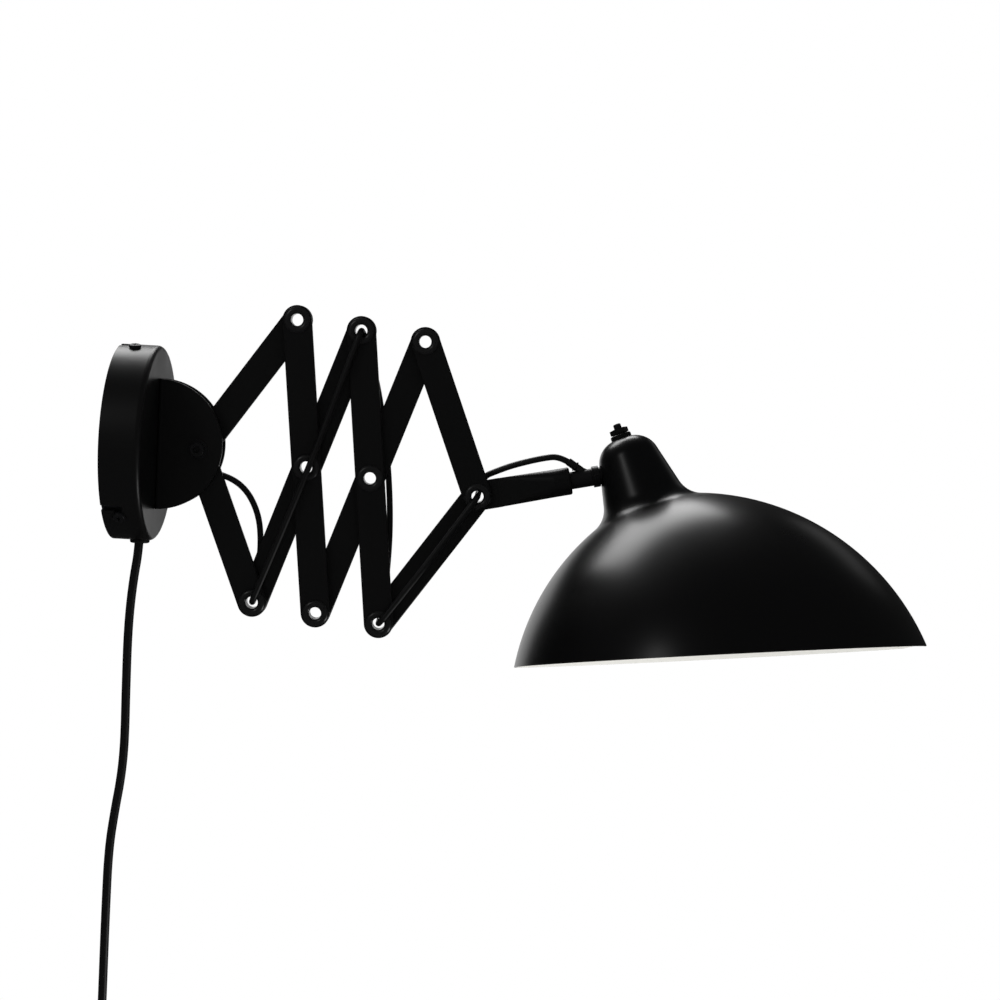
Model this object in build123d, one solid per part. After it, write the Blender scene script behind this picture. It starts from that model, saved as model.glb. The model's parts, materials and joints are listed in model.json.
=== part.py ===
from build123d import *
import os
from math import asin, atan, cos, degrees, hypot, pi, radians, sin, sqrt, tan

# Accordion wall lamp. Millimetres, +Z up, +X out of the wall, +Y to the far side of the arm.
# The origin is the middle of the canopy's back face, on the wall.

# Canopy: a drawn cup on the wall, with three L-shaped screw slots in its rim
CANOPY_DIAMETER = 120
CANOPY_DEPTH = 24
CANOPY_WALL = 1.2
CANOPY_EDGE_RADIUS = 3
RIM_SCREW_ANGLES = (75.5, -44.5, 195.5)  # round the rim from the near side, +90 is the top
RIM_SCREW_HEIGHT = 10.2  # of its axis above the wall
RIM_SCREW_DIAMETER = 4
RIM_SCREW_HEAD = 7.2
RIM_SCREW_HEAD_HEIGHT = 2
RIM_SCREW_LENGTH = 7
RIM_SLOT_WIDTH = 4.4
RIM_SLOT_TURN = 6.2  # degrees that the canopy turns on its screws to lock

# Mounting plate behind the canopy
PLATE_DIAMETER = 104
PLATE_THICKNESS = 1.6
WALL_SCREW_SPACING = 70
WALL_SCREW_HOLE = 5
WIRE_HOLE = 16
WIRE_HOLE_UP = 16
LUG_WIDTH = 13
LUG_HEIGHT = 15
LUG_GAP = 1.2  # from the canopy's wall

# Wiring inside the canopy
TERMINAL_BLOCK = (15.3, 24, 26)
TERMINAL_PLACE = -24
CLAMP_WIDTH = 18
CLAMP_LENGTH = 9
CLAMP_BOTTOM = -47
CLAMP_COVER = 2.5

# Bracket: a U of two half-disc cheeks
CHEEK_RADIUS = 40
CHEEK_THICKNESS = 2
CHEEK_GAP = 9.6
BRACKET_BEND = 1.5
BRACKET_SCREW_PLACES = (22, -34)
BRACKET_SCREW_DIAMETER = 4
BRACKET_SCREW_HEAD = 7.5
BRACKET_SCREW_HEAD_HEIGHT = 2.4
BUSH_PLACE = -19  # of the hollow bush for the arm cable
BUSH_DIAMETER = 8
BUSH_BORE = 5.4
BUSH_FLANGE = 9.2
BUSH_FLANGE_THICKNESS = 1.4
BUSH_REACH = 5.6  # into the canopy
BUSH_NUT = 12
BUSH_NUT_THICKNESS = 3

# Pivot of the arm between the cheeks
PIVOT_OUT = 48.8
PIVOT_UP = -2
PIVOT_SCREW_DIAMETER = 5
PIVOT_HEAD = 9
PIVOT_HEAD_HEIGHT = 2.4
PIVOT_SOCKET = 4  # across the flats of the hexagon socket
PIVOT_WASHER = 12
PIVOT_WASHER_THICKNESS = 1
PIVOT_NUT = 8
PIVOT_NUT_THICKNESS = 4
PIVOT_THREAD_SHOWN = 1.5
SLEEVE_DIAMETER = 8
CHEEK_WASHER = 15
CHEEK_WASHER_THICKNESS = 0.6

# Scissor links: flat bars in two layers, crossing at their middles
FULL_LINK_HALF = 90.5
END_LINK = 100.2
LINK_WIDTH = 18
LINK_THICKNESS = 3
LAYER_GAP = 2
LINK_EDGE = 0.5
FULL_LINK_ANGLE = 77.34  # from the arm's axis, at rest
ARM_SLOPE = 6.53  # the arm's axis points this far down
LINKAGE_SLACK = 2.15  # the open pivots' holes have this much room all round

# Hollow rivets
RIVET_BARREL = 9
RIVET_BORE = 7.5
RIVET_FLANGE = 16
RIVET_FLANGE_HEIGHT = 1.4
SPACER_DIAMETER = 15

# Arm cable, threaded through four of the hollow rivets
CABLE_DIAMETER = 3.8
CABLE_PLANE = 7.8  # behind and in front of the links
CABLE_INLET_PLANE = 2.4  # where it passes between the cheeks
CABLE_UNDER_PIVOT = 14  # below the pivot
CABLE_RISE = 77  # its elevation behind the lamp-end pin
CABLE_TURN_RADIUS = 4.8  # where it turns into a rivet
# Its places sideways of each link, by share of the way from rivet to rivet
CABLE_UP_OFFSETS = {0.07: 0.5, 0.3: 1.3, 0.5: 1.8, 0.72: 1.3, 0.93: 0.5}
CABLE_DOWN_OFFSETS = {0.07: -3.4, 0.22: -8.2, 0.44: -11.1, 0.66: -10.5, 0.84: -6.4, 0.94: -2.6}
CABLE_END_OFFSETS = {0.12: 0.4, 0.5: 0.8, 0.87: 0.3}

# Bar at the lamp end: an oval bar that thins steadily to a tongue, with a bored end
BAR_SLOPE = 12.6  # upwards
TONGUE_HEIGHT = 18
TONGUE_LENGTH = 14.5
BAR_HEIGHT = 17
BAR_DEPTH = 15
BAR_WALL = 1.2
BAR_FULL_FROM = 48
BAR_BORE_FROM = 42
BAR_LENGTH = 55.5
CAP_FLANGE = 2.8
CAP_DEPTH = 8
CAP_EDGE = 1.2

# Rod from the bar into the shade's neck
ROD_DIAMETER = 10.8
ROD_WALL = 1.4
ROD_START = 43
ROD_LENGTH = 70
COLLAR_DIAMETER = ROD_DIAMETER + 2.2
COLLAR_START = 72
COLLAR_LENGTH = 4.2
SET_SCREW_DIAMETER = 3
SET_SCREW_LENGTH = 2
ROD_NUT = 15
ROD_NUT_THICKNESS = 4

# Grip sleeve where the cable enters the rod
GRIP_PLACE = 65.3
GRIP_ANGLE = 45
GRIP_DIAMETER = 4.9
GRIP_LENGTH = 9.4
GRIP_FLANGE = 6.2
GRIP_FLANGE_THICKNESS = 0.8
GRIP_CORNER_UP = 16  # where the cable bends down into it

# Shade: a spun neck and dome, cut off at an angle to its axis
NECK_PLACE = 97.3  # along the rod, from the last pivot
NECK_TOP = 20.9  # above the rod's axis
NECK_LEAN = 9.8  # from square to the rod, back towards the arm
SHADE_ROLL = -11  # round the rod, towards the near side
SHADE_WALL = 1
NECK_RADIUS = 15.99  # of the neck's cone, carried on to its top
NECK_TAPER = 13.34
NECK_CORNER = 14.9
NECK_FILLET = 17.1
DOME_RADIUS = 148.2
DOME_CENTRE_DOWN = 186.6  # from the neck's top, along its axis
DOME_CENTRE_OVER = -18.5  # past the axis
RIM_DOWN = 143.06
RIM_TILT = 16.26

# Swivel block, stud and lampholder inside the neck
BLOCK_DIAMETER = 20
BLOCK_BACK = 9
BLOCK_FRONT = 10
BLOCK_BOSS = 16
BLOCK_BOSS_DOWN = 13
STUD_DIAMETER = 4.8
STUD_BOTTOM = 7.6
STUD_ABOVE_NECK = 9.6
STUD_WASHER = 13
STUD_WASHER_THICKNESS = 2.6
STUD_NUT = 10
STUD_NUT_THICKNESS = 2.8
STUD_NUT_GAP = 0.8
NECK_NUT = 8
NECK_NUT_THICKNESS = 3.5
NIPPLE_DIAMETER = 10
NIPPLE_BORE = 7
NIPPLE_TOP = 7.2
NIPPLE_BOTTOM = 19
HOLDER_TOP = 13.4
HOLDER_CAP_DIAMETER = 28
HOLDER_CAP_HEIGHT = 13
HOLDER_TAPER = 8
HOLDER_DIAMETER = 38
HOLDER_BOTTOM = 66
HOLDER_BORE = 30.2
HOLDER_BORE_DEPTH = 30
SHELL_WALL = 1.6
SHELL_LENGTH = 26
CONTACT_DIAMETER = 22
CONTACT_THICKNESS = 1.6
CONTACT_BOSS = 0.5

# Wall cord, its coil and its plug
CORD_DIAMETER = 5.5
CORD_EXIT = 14.5
GROMMET_DIAMETER = 8
GROMMET_FLANGE = 12
GROMMET_FLANGE_HEIGHT = 2
COIL_OUTER = 40
COIL_PITCH = 6.1
COIL_TURNS_IN = 3.75
COIL_TURNS_OUT = 4.25
COIL_OFF_WALL = 4.4
COIL_CENTRE_UP = -417
COIL_TAIL = 36
CORD_SIDE = -12
TIE_WIDTH = 6
TIE_THICKNESS = 1
TIE_ROOM = 0.4
TIE_SIDE_ROOM = 0.8
PLUG_LENGTH = 36
PLUG_WIDTH = 26
PLUG_THICKNESS = 13.5
PLUG_NOSE = 13
PLUG_PIN = 4
PLUG_PIN_LENGTH = 19
PLUG_PIN_SPACING = 18.6

# Clearances
RUNNING = 0.05  # radial, of a shaft in its hole
PLAY = 0.05  # between a flange or washer and what turns on it
SEAT = 0.1  # radial, of a screw or bush in its hole
CLEAR = 0.4  # radial, of a hole that a moving piece only passes through
FAR_PAST = 50  # a cut goes this far past what it cuts

half_stack = LINK_THICKNESS + LAYER_GAP / 2
layer = (LINK_THICKNESS + LAYER_GAP) / 2
cheek_outside = CHEEK_GAP / 2 + CHEEK_THICKNESS
canopy_radius = CANOPY_DIAMETER / 2
end_link_angle = degrees(asin(FULL_LINK_HALF / END_LINK * sin(radians(FULL_LINK_ANGLE))))


def across(start, end, outer, inner=0):
    """A round piece whose axis is Y, from one Y to the other."""
    piece = Cylinder(outer / 2, end - start)
    if inner:
        piece -= Cylinder(inner / 2, end - start)
    return Pos(0, (start + end) / 2, 0) * Rot(90, 0, 0) * piece


def outwards(start, end, outer, inner=0):
    """A round piece whose axis is X, from one X to the other."""
    return Rot(0, 0, -90) * across(start, end, outer, inner)


def upwards(start, end, outer, inner=0):
    """A round piece whose axis is Z, from one Z to the other."""
    return Rot(90, 0, 0) * across(start, end, outer, inner)


def hexagon(start, end, flats, bore):
    """A nut whose axis is Z."""
    outline = RegularPolygon(flats / 2, 6, major_radius=False) - Circle(bore / 2)
    return Pos(0, 0, start) * extrude(outline, end - start)


# Places of the pins, as (X, Z)


def moved(place, along, up):
    """A place moved along the arm's axis and square to it."""
    slope = radians(ARM_SLOPE)
    x = place[0] + along * cos(slope) + up * sin(slope)
    z = place[1] - along * sin(slope) + up * cos(slope)
    return (x, z)


def link_step(length, angle):
    """How far a link reaches along and square to the arm's axis."""
    return length * cos(radians(angle)), length * sin(radians(angle))


end_along, end_up = link_step(END_LINK, end_link_angle)
full_along, full_up = link_step(FULL_LINK_HALF, FULL_LINK_ANGLE)
pivot = (PIVOT_OUT, PIVOT_UP)
top, middle, low = {}, {}, {}
for row in (1, 2, 3):
    reach = end_along + 2 * (row - 1) * full_along
    top[row] = moved(pivot, reach, full_up)
    middle[row] = moved(pivot, reach + full_along, 0)
    low[row] = moved(pivot, reach, -full_up)
end_pin = moved(pivot, 2 * end_along + 4 * full_along, 0)


def at_pin(place, elevation, piece, y=0):
    """Puts a piece made along +X on a pin, pointing at an elevation."""
    return Pos(place[0], y, place[1]) * Rot(0, -elevation, 0) * piece


# Canopy and what it holds


def round_rim(angle, piece):
    """Turns a piece made at the top of the rim to its angle."""
    return Rot(90 - angle, 0, 0) * piece


def make_canopy():
    cup = outwards(0, CANOPY_DEPTH, CANOPY_DIAMETER)
    cup = fillet(cup.edges().sort_by(Axis.X)[-1], CANOPY_EDGE_RADIUS)
    inside = outwards(-FAR_PAST, CANOPY_DEPTH - CANOPY_WALL, CANOPY_DIAMETER - 2 * CANOPY_WALL)
    inside = fillet(inside.edges().sort_by(Axis.X)[-1], CANOPY_EDGE_RADIUS - CANOPY_WALL)
    cup -= inside
    for angle in RIM_SCREW_ANGLES:
        way_in = Box(2 * RIM_SCREW_HEIGHT + RIM_SLOT_WIDTH, RIM_SLOT_WIDTH, CANOPY_DIAMETER)
        cup -= round_rim(angle + RIM_SLOT_TURN, Pos(0, 0, canopy_radius) * way_in)
        turned = radians(RIM_SLOT_TURN) * canopy_radius
        branch = Pos(0, turned / 2, 0) * Box(RIM_SLOT_WIDTH, turned, CANOPY_DIAMETER)
        branch += Cylinder(RIM_SLOT_WIDTH / 2, CANOPY_DIAMETER)
        cup -= round_rim(angle, Pos(RIM_SCREW_HEIGHT, 0, canopy_radius) * branch)
    cup -= Pos(CORD_EXIT, 0, 0) * upwards(-CANOPY_DIAMETER, 0, GROMMET_DIAMETER + 2 * SEAT)
    for height, diameter in bracket_holes():
        cup -= Pos(0, 0, height) * outwards(0, 2 * CANOPY_DEPTH, diameter)
    return cup


def bracket_holes():
    """Heights and diameters of the holes that canopy and bracket share."""
    screws = [(height, BRACKET_SCREW_DIAMETER + 2 * SEAT) for height in BRACKET_SCREW_PLACES]
    return screws + [(BUSH_PLACE, BUSH_DIAMETER + 2 * SEAT)]


def make_mounting_plate():
    plate = outwards(0, PLATE_THICKNESS, PLATE_DIAMETER)
    lug_outside = canopy_radius - CANOPY_WALL - LUG_GAP
    for angle in RIM_SCREW_ANGLES:
        foot = Box(PLATE_THICKNESS, LUG_WIDTH, lug_outside / 2, align=(Align.MIN, Align.CENTER, Align.MAX))
        lug = Box(LUG_HEIGHT, LUG_WIDTH, PLATE_THICKNESS, align=(Align.MIN, Align.CENTER, Align.MAX))
        hole = Pos(RIM_SCREW_HEIGHT, 0, 0) * Cylinder(RIM_SCREW_DIAMETER / 2 + SEAT, LUG_WIDTH)
        plate += round_rim(angle, Pos(0, 0, lug_outside) * (foot + lug - hole))
    plate -= Pos(0, 0, WIRE_HOLE_UP) * outwards(-FAR_PAST, FAR_PAST, WIRE_HOLE)
    for side in (-1, 1):
        place = Pos(0, side * WALL_SCREW_SPACING / 2, 0)
        plate -= place * outwards(-FAR_PAST, FAR_PAST, WALL_SCREW_HOLE)
    return plate


def pan_screw(shank, shank_length, head, head_height):
    """A screw along -Z with its head standing on the plane Z = 0."""
    cap = Pos(0, 0, head_height / 2) * Cylinder(head / 2, head_height)
    cap = fillet(cap.edges().sort_by(Axis.Z)[-1], head_height / 2)
    cross = Box(head * 0.55, head * 0.12, head_height) + Box(head * 0.12, head * 0.55, head_height)
    cap -= Pos(0, 0, head_height) * cross
    return cap + Pos(0, 0, -shank_length / 2) * Cylinder(shank / 2, shank_length)


def make_rim_screws():
    screws = []
    for angle in RIM_SCREW_ANGLES:
        screw = pan_screw(RIM_SCREW_DIAMETER, RIM_SCREW_LENGTH, RIM_SCREW_HEAD, RIM_SCREW_HEAD_HEIGHT)
        screws.append(round_rim(angle, Pos(RIM_SCREW_HEIGHT, 0, canopy_radius) * screw))
    return Compound(screws)


def make_grommet():
    wall_outside = -sqrt(canopy_radius**2 - (GROMMET_FLANGE / 2) ** 2)
    wall_inside = -canopy_radius + CANOPY_WALL
    flange_top = -canopy_radius - PLAY
    grommet = upwards(flange_top - GROMMET_FLANGE_HEIGHT, flange_top, GROMMET_FLANGE)
    grommet = fillet(grommet.edges().sort_by(Axis.Z)[0], GROMMET_FLANGE_HEIGHT / 2)
    grommet += upwards(flange_top, wall_inside + GROMMET_FLANGE_HEIGHT / 2, GROMMET_DIAMETER)
    grommet -= upwards(wall_outside - FAR_PAST, 0, CORD_DIAMETER + 2 * SEAT)
    return Pos(CORD_EXIT, 0, 0) * grommet


def make_terminal_block():
    block = Box(*TERMINAL_BLOCK, align=(Align.MIN, Align.CENTER, Align.CENTER))
    block = chamfer(block.edges().group_by(Axis.X)[-1], 1)
    for side in (-1, 0, 1):
        screw_hole = outwards(TERMINAL_BLOCK[0] - 4, FAR_PAST, 3)
        block -= Pos(0, side * TERMINAL_BLOCK[1] / 3, -TERMINAL_BLOCK[2] / 4) * screw_hole
    return Pos(PLATE_THICKNESS, 0, TERMINAL_PLACE) * block


def make_cord_clamp():
    height = CORD_EXIT + CORD_DIAMETER / 2 + CLAMP_COVER - PLATE_THICKNESS
    clamp = Box(height, CLAMP_WIDTH, CLAMP_LENGTH, align=(Align.MIN, Align.CENTER, Align.MIN))
    clamp = fillet(clamp.edges().filter_by(Axis.Z).group_by(Axis.X)[-1], 3)
    clamp = Pos(PLATE_THICKNESS, 0, CLAMP_BOTTOM) * clamp
    return clamp - Pos(CORD_EXIT, 0, 0) * upwards(-FAR_PAST * 2, 0, CORD_DIAMETER + 2 * SEAT)


# Bracket and pivot


def make_bracket():
    solid = Plane.XZ * (Pos(CANOPY_DEPTH, 0) * Circle(CHEEK_RADIUS))
    solid = extrude(solid, cheek_outside, both=True)
    solid -= Pos(CANOPY_DEPTH - CHEEK_RADIUS, 0, 0) * Box(2 * CHEEK_RADIUS, FAR_PAST, 2 * CHEEK_RADIUS)
    back = solid.edges().filter_by(Axis.Z)
    solid = fillet(back, BRACKET_BEND)
    room_start = CANOPY_DEPTH + CHEEK_THICKNESS
    room = Box(CHEEK_RADIUS, CHEEK_GAP, 2 * CHEEK_RADIUS, align=(Align.MIN, Align.CENTER, Align.CENTER))
    solid -= Pos(room_start, 0, 0) * room
    solid -= Pos(PIVOT_OUT, 0, PIVOT_UP) * across(-FAR_PAST, FAR_PAST, PIVOT_SCREW_DIAMETER + 2 * SEAT)
    for height, diameter in bracket_holes():
        solid -= Pos(0, 0, height) * outwards(0, 2 * CANOPY_DEPTH, diameter)
    return solid


def make_bracket_screws():
    length = CANOPY_WALL + CHEEK_THICKNESS + 1
    screws = []
    for height in BRACKET_SCREW_PLACES:
        screw = pan_screw(BRACKET_SCREW_DIAMETER, length, BRACKET_SCREW_HEAD, BRACKET_SCREW_HEAD_HEIGHT)
        screws.append(Pos(CANOPY_DEPTH - CANOPY_WALL, 0, height) * Rot(0, -90, 0) * screw)
    return Compound(screws)


def make_bush():
    face = CANOPY_DEPTH + CHEEK_THICKNESS
    bush = outwards(CANOPY_DEPTH - CANOPY_WALL - BUSH_REACH, face, BUSH_DIAMETER)
    bush += outwards(face, face + BUSH_FLANGE_THICKNESS, BUSH_FLANGE)
    bush -= outwards(0, CANOPY_DEPTH * 2, BUSH_BORE)
    return Pos(0, 0, BUSH_PLACE) * bush


def make_bush_nut():
    start = CANOPY_DEPTH - CANOPY_WALL - BUSH_NUT_THICKNESS
    nut = hexagon(0, BUSH_NUT_THICKNESS, BUSH_NUT, BUSH_DIAMETER + 2 * RUNNING)
    return Pos(start, 0, BUSH_PLACE) * Rot(0, 90, 0) * nut


def make_pivot_screw():
    head_face = -cheek_outside - PIVOT_WASHER_THICKNESS
    nut_end = cheek_outside + PIVOT_WASHER_THICKNESS + PIVOT_NUT_THICKNESS
    head = across(head_face - PIVOT_HEAD_HEIGHT, head_face, PIVOT_HEAD)
    head = fillet(head.edges().sort_by(Axis.Y)[0], PIVOT_HEAD_HEIGHT / 3)
    socket = Rot(90, 0, 0) * hexagon(-head_face, FAR_PAST, PIVOT_SOCKET, 0.5)
    socket += across(-FAR_PAST, head_face, 0.5)
    screw = head - Pos(0, -PIVOT_HEAD_HEIGHT / 3, 0) * socket
    screw += across(head_face, nut_end + PIVOT_THREAD_SHOWN, PIVOT_SCREW_DIAMETER)
    return Pos(PIVOT_OUT, 0, PIVOT_UP) * screw


def make_pivot_washers():
    bore = PIVOT_SCREW_DIAMETER + 2 * SEAT
    washers = []
    for side in (-1, 1):
        faces = sorted((side * cheek_outside, side * (cheek_outside + PIVOT_WASHER_THICKNESS)))
        washers.append(Pos(PIVOT_OUT, 0, PIVOT_UP) * across(*faces, PIVOT_WASHER, bore))
    return Compound(washers)


def make_pivot_nut():
    start = cheek_outside + PIVOT_WASHER_THICKNESS
    nut = hexagon(0, PIVOT_NUT_THICKNESS, PIVOT_NUT, PIVOT_SCREW_DIAMETER + 2 * RUNNING)
    return Pos(PIVOT_OUT, start, PIVOT_UP) * Rot(-90, 0, 0) * nut


def make_pivot_sleeve():
    end = CHEEK_GAP / 2 - 2 * PLAY
    sleeve = across(-end, end, SLEEVE_DIAMETER, PIVOT_SCREW_DIAMETER + 2 * RUNNING)
    return Pos(PIVOT_OUT, 0, PIVOT_UP) * sleeve


def make_pivot_rings():
    """The spacer between the two end links, and a washer on each side of them."""
    bore = SLEEVE_DIAMETER + 2 * RUNNING
    washer_end = half_stack + PLAY + CHEEK_WASHER_THICKNESS
    rings = [across(-LAYER_GAP / 2 + PLAY, LAYER_GAP / 2 - PLAY, CHEEK_WASHER, bore)]
    rings.append(across(half_stack + PLAY, washer_end, CHEEK_WASHER, bore))
    rings.append(across(-washer_end, -half_stack - PLAY, CHEEK_WASHER, bore))
    return Compound([Pos(PIVOT_OUT, 0, PIVOT_UP) * ring for ring in rings])


# Scissor links and hollow rivets


def flat_link(length, holes):
    """A flat bar along +X with round ends, and holes as {place: diameter}."""
    outline = Pos(length / 2, 0) * SlotCenterToCenter(length, LINK_WIDTH)
    for place, diameter in holes.items():
        outline -= Pos(place, 0) * Circle(diameter / 2)
    bar = extrude(Plane.XZ * outline, LINK_THICKNESS / 2, both=True)
    faces = bar.faces().sort_by(Axis.Y)
    edges = faces[0].outer_wire().edges() + faces[-1].outer_wire().edges()
    return chamfer(edges, LINK_EDGE)


rivet_hole = RIVET_BARREL + 2 * RUNNING
open_rivet_hole = RIVET_BARREL + 2 * LINKAGE_SLACK
sleeve_hole = SLEEVE_DIAMETER + 2 * RUNNING
open_sleeve_hole = SLEEVE_DIAMETER + 2 * LINKAGE_SLACK
full_link_holes = {0: rivet_hole, FULL_LINK_HALF: rivet_hole, 2 * FULL_LINK_HALF: rivet_hole}


def full_link(start, leaning):
    """A full link from its lower or upper pin; leaning +1 rises outwards, in the back layer."""
    bar = flat_link(2 * FULL_LINK_HALF, full_link_holes)
    return at_pin(start, leaning * FULL_LINK_ANGLE - ARM_SLOPE, bar, leaning * layer)


def end_link(start, leaning, holes):
    """An end link from its pin nearer the wall."""
    bar = flat_link(END_LINK, dict(zip((0, END_LINK), holes)))
    return at_pin(start, leaning * end_link_angle - ARM_SLOPE, bar, leaning * layer)


def flanged_rivet():
    inside = half_stack + PLAY
    outside = inside + RIVET_FLANGE_HEIGHT
    bore, barrel, flange = RIVET_BORE / 2, RIVET_BARREL / 2, RIVET_FLANGE / 2
    crown = (0.55 * bore + 0.45 * flange, outside)
    roll = ThreePointArc((bore, inside), crown, (flange, inside + RIVET_FLANGE_HEIGHT / 4))
    edges = [Line((bore, 0), (bore, inside)), roll]
    edges.append(Polyline(roll @ 1, (flange, inside), (barrel, inside), (barrel, 0), (bore, 0)))
    half = revolve(make_face(Curve() + edges), Axis.Y)
    return half + mirror(half, Plane.XZ)


def make_rivet(place, with_spacer=True):
    pieces = [at_pin(place, 0, flanged_rivet())]
    if with_spacer:
        ring = across(-LAYER_GAP / 2 + PLAY, LAYER_GAP / 2 - PLAY, SPACER_DIAMETER, rivet_hole)
        pieces.append(at_pin(place, 0, ring))
    return Compound(pieces)


# Cables and cords


def corner_radius(before, corner, after):
    """0.45 of the shorter run, divided by the tangent of half the turn."""
    run_in, run_out = Vector(*corner) - Vector(*before), Vector(*after) - Vector(*corner)
    turn = radians(run_in.get_angle(run_out))
    return 0.45 * min(run_in.length, run_out.length) / tan(turn / 2)


def tube(name, points, diameter, first_radius=None, last_radius=None):
    """A tube along straight runs joined by tangent arcs."""
    radii = [corner_radius(*points[i - 1 : i + 2]) for i in range(1, len(points) - 1)]
    if first_radius:
        radii[0] = first_radius
    if last_radius:
        radii[-1] = last_radius
    path = FilletPolyline(*points, radius=radii)
    section = Plane(origin=path @ 0, z_dir=path % 0) * Circle(diameter / 2)
    solid = sweep(section, path=path)
    share = solid.volume / (pi * diameter**2 / 4 * path.length)
    print(f"{name}: {path.length:.0f} mm long, volume share {share:.4f}, radii", *[f"{r:.0f}" for r in radii])
    return solid


def on_side(place, side):
    """A place on the cable's plane: +1 behind the links, -1 in front of them."""
    return (place[0], side * CABLE_PLANE, place[1])


def in_rivet(place):
    """The middle of a rivet's bore, where two stretches of the cable meet."""
    return (place[0], 0, place[1])


def beside(start, end, share, offset):
    """A place a share of the way along a link, and moved to the right of its direction."""
    run = (end[0] - start[0], end[1] - start[1])
    length = hypot(*run)
    x = start[0] + share * run[0] + offset * run[1] / length
    z = start[1] + share * run[1] - offset * run[0] / length
    return (x, z)


inlet_end = (PIVOT_OUT, CABLE_INLET_PLANE, PIVOT_UP - CABLE_UNDER_PIVOT)
block_face = PLATE_THICKNESS + TERMINAL_BLOCK[0]


def make_cable_inlet():
    bush_end = CANOPY_DEPTH + CHEEK_THICKNESS + BUSH_FLANGE_THICKNESS
    points = [(block_face, 0, BUSH_PLACE), (bush_end + 1, 0, BUSH_PLACE)]
    points.append((inlet_end[0] - 8, inlet_end[1], inlet_end[2]))
    points.append(inlet_end)
    return tube("cable_inlet", points, CABLE_DIAMETER)


def make_cable_bow():
    """From under the pivot, out between the cheeks in a bow, and behind the links into its rivet."""
    points = [inlet_end, (inlet_end[0] + 12, *inlet_end[1:]), (76.5, 5.9, -23.6)]
    points += [on_side(place, 1) for place in ((85.8, -39.5), (88.6, -58), (87.2, -80), low[1])]
    return tube("cable_bow", points + [in_rivet(low[1])], CABLE_DIAMETER, last_radius=CABLE_TURN_RADIUS)


def make_threaded(name, start, end, side, offsets):
    """A stretch beside a link from rivet to rivet; offsets are its sideways places by share of the way."""
    points = [in_rivet(start), on_side(start, side)]
    points += [on_side(beside(start, end, share, offset), side) for share, offset in offsets.items()]
    points += [on_side(end, side), in_rivet(end)]
    return tube(name, points, CABLE_DIAMETER, CABLE_TURN_RADIUS, CABLE_TURN_RADIUS)


def on_bar(along, up, y=0):
    """A place along the bar's axis from the lamp-end pin, and above it."""
    slope = radians(BAR_SLOPE)
    x = end_pin[0] + along * cos(slope) - up * sin(slope)
    z = end_pin[1] + along * sin(slope) + up * cos(slope)
    return (x, y, z)


def along_bar(piece):
    """Puts a piece made along +X from the lamp-end pin onto the bar's axis."""
    return at_pin(end_pin, BAR_SLOPE, piece)


def make_cable_over_bar():
    """Out of the lamp-end rivet, up behind the last link, and over the bar into the grip on the rod."""
    risen = (end_pin[0] + 12 * cos(radians(CABLE_RISE)), end_pin[1] + 12 * sin(radians(CABLE_RISE)))
    points = [in_rivet(end_pin), on_side(end_pin, 1), on_side(risen, 1)]
    points += [on_bar(14, 13, 5.6), on_bar(25, 15.2, 3), on_bar(43, 16.6, 0.8)]
    points += [on_bar(*on_grip_axis(up)) for up in (GRIP_CORNER_UP, 0.8)]
    points += [on_bar(GRIP_PLACE + 17.5, -0.4)]
    return tube("cable_over_bar", points, CABLE_DIAMETER, CABLE_TURN_RADIUS)


def on_grip_axis(up):
    """A place on the grip's axis, at a height above the bar's axis."""
    return (GRIP_PLACE + (ROD_DIAMETER / 2 - up) / tan(radians(GRIP_ANGLE)), up)


# Bar, rod and grip


def oval(height, depth):
    """An upright oval outline with flat sides, square to the bar."""
    return Plane.YZ * (Rot(0, 0, 90) * SlotOverall(height, depth))


def make_bar():
    thickness = LAYER_GAP - 2 * PLAY
    outline = Circle(TONGUE_HEIGHT / 2)
    outline += Rectangle(TONGUE_LENGTH, TONGUE_HEIGHT, align=(Align.MIN, Align.CENTER))
    outline -= Circle(rivet_hole / 2)
    bar = extrude(Plane.XZ * outline, thickness / 2, both=True)
    flattened = Pos(TONGUE_LENGTH, 0, 0) * oval(TONGUE_HEIGHT, thickness)
    bar += loft([flattened, Pos(BAR_FULL_FROM, 0, 0) * oval(BAR_HEIGHT, BAR_DEPTH)])
    bar += extrude(Pos(BAR_FULL_FROM, 0, 0) * oval(BAR_HEIGHT, BAR_DEPTH), BAR_LENGTH - BAR_FULL_FROM)
    bar -= outwards(BAR_BORE_FROM, BAR_LENGTH + FAR_PAST, ROD_DIAMETER + 2 * RUNNING)
    pocket = oval(BAR_HEIGHT - 2 * BAR_WALL, BAR_DEPTH - 2 * BAR_WALL)
    bar -= Pos(BAR_LENGTH - CAP_DEPTH - SEAT, 0, 0) * extrude(pocket, FAR_PAST)
    return along_bar(bar)


def make_bar_cap():
    tight = 2 * BAR_WALL + 2 * SEAT
    cap = extrude(oval(BAR_HEIGHT, BAR_DEPTH), CAP_FLANGE)
    cap = fillet(cap.edges().group_by(Axis.X)[-1], CAP_EDGE)
    cap += Pos(-CAP_DEPTH, 0, 0) * extrude(oval(BAR_HEIGHT - tight, BAR_DEPTH - tight), CAP_DEPTH)
    cap -= outwards(-FAR_PAST, FAR_PAST, ROD_DIAMETER + 2 * RUNNING)
    return along_bar(Pos(BAR_LENGTH, 0, 0) * cap)


def grip_place(piece):
    """Puts a piece made along +Z, with Z = 0 on the rod's skin, on the grip's axis."""
    return along_bar(Pos(GRIP_PLACE, 0, ROD_DIAMETER / 2) * Rot(0, GRIP_ANGLE - 90, 0) * piece)


def make_rod():
    rod = along_bar(outwards(ROD_START, ROD_START + ROD_LENGTH, ROD_DIAMETER, ROD_DIAMETER - 2 * ROD_WALL))
    return rod - grip_place(upwards(-ROD_DIAMETER * 0.7, ROD_DIAMETER, GRIP_DIAMETER + 2 * SEAT))


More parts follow.
